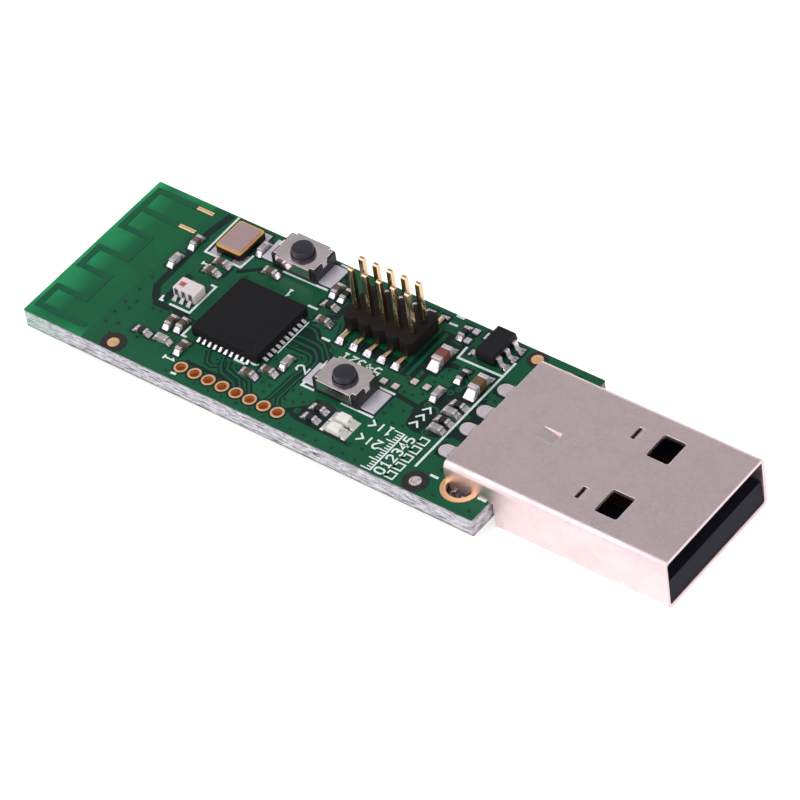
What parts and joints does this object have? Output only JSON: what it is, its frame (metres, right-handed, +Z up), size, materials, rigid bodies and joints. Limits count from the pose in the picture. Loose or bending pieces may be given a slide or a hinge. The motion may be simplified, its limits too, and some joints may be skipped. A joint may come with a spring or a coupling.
{
  "type": "usb radio stick",
  "caption": "Bare circuit board USB radio stick: shielded plug, printed antenna, radio chip, crystal, push switches, pin header, status lights and a row of plated holes.",
  "frame": {"origin": "below the middle of the whole stick, level with the underside of the plug shell", "axes": "+X along the stick towards the open end of the plug, +Y across it, +Z up out of the side that carries the components"},
  "size_m": [0.056, 0.016, 0.008],
  "materials": {
    "solder_mask": "glass fibre board under semi-gloss green mask",
    "masked_copper": "copper under semi-gloss green mask",
    "tinned_copper": "satin tin plating",
    "solder": "bright solder",
    "gold": "satin gold plating",
    "nickel_steel": "satin nickel plating",
    "spring_steel": "bright",
    "black_moulding": "matt moulded",
    "chip_moulding": "fine matt moulded",
    "white_moulding": "matt",
    "clear_resin": "clear resin",
    "dark_ceramic": "matt",
    "white_ceramic": "matt",
    "brown_ceramic": "satin",
    "grey_ceramic": "satin",
    "red_brown_ceramic": "satin",
    "olive_ceramic": "satin",
    "black_film": "semi-gloss film over white ceramic"
  },
  "bodies": {
    "stick": {"antenna_trace": "masked_copper", "balun_body": "white_ceramic", "balun_terminals": "solder", "bulk_capacitor_end_caps": "tinned_copper", "bulk_capacitor_solder": "solder", "capacitor_bodies": "brown_ceramic", "chip_part_end_caps": "tinned_copper", "chip_part_solder": "solder", "circuit_board": "solder_mask", "crystal_base": "dark_ceramic", "crystal_lid": "nickel_steel", "crystal_pads": "solder", "crystal_seal_ring": "gold", "data_minus_contact": "gold", "data_plus_contact": "gold", "gold_pads": "gold", "ground_contact": "gold", "header_body": "black_moulding", "header_pins": "gold", "hole_rings": "gold", "inductor_bodies": "grey_ceramic", "input_capacitor_body": "red_brown_ceramic", "lead_solder": "solder", "led_bases": "white_moulding", "led_lenses": "clear_resin", "led_terminals": "solder", "leg_hole_barrels": "gold", "leg_solder": "solder", "output_capacitor_body": "olive_ceramic", "plug_insulator": "black_moulding", "plug_shell": "nickel_steel", "power_contact": "gold", "radio_chip_body": "chip_moulding", "radio_chip_leads": "tinned_copper", "radio_chip_solder": "solder", "regulator_body": "chip_moulding", "regulator_leads": "tinned_copper", "resistor_bodies": "black_film", "switch_one_cover": "nickel_steel", "switch_one_dome": "spring_steel", "switch_one_housing": "black_moulding", "switch_one_terminals": "tinned_copper", "switch_two_cover": "nickel_steel", "switch_two_dome": "spring_steel", "switch_two_housing": "black_moulding", "switch_two_terminals": "tinned_copper", "tail_solder": "solder", "tinned_pads": "solder"},
    "button_one": {"switch_one_button": "black_moulding"},
    "button_two": {"switch_two_button": "black_moulding"}
  },
  "joints": [
    {"name": "switch_one_press", "type": "slide", "parent": "stick", "child": "button_one", "axis": [0, 0, -1], "range_m": [0, 0.00025], "stiffness_N_per_m": 6400, "deforming": ["switch_one_dome"]},
    {"name": "switch_two_press", "type": "slide", "parent": "stick", "child": "button_two", "axis": [0, 0, -1], "range_m": [0, 0.00025], "stiffness_N_per_m": 6400, "deforming": ["switch_two_dome"]}
  ]
}
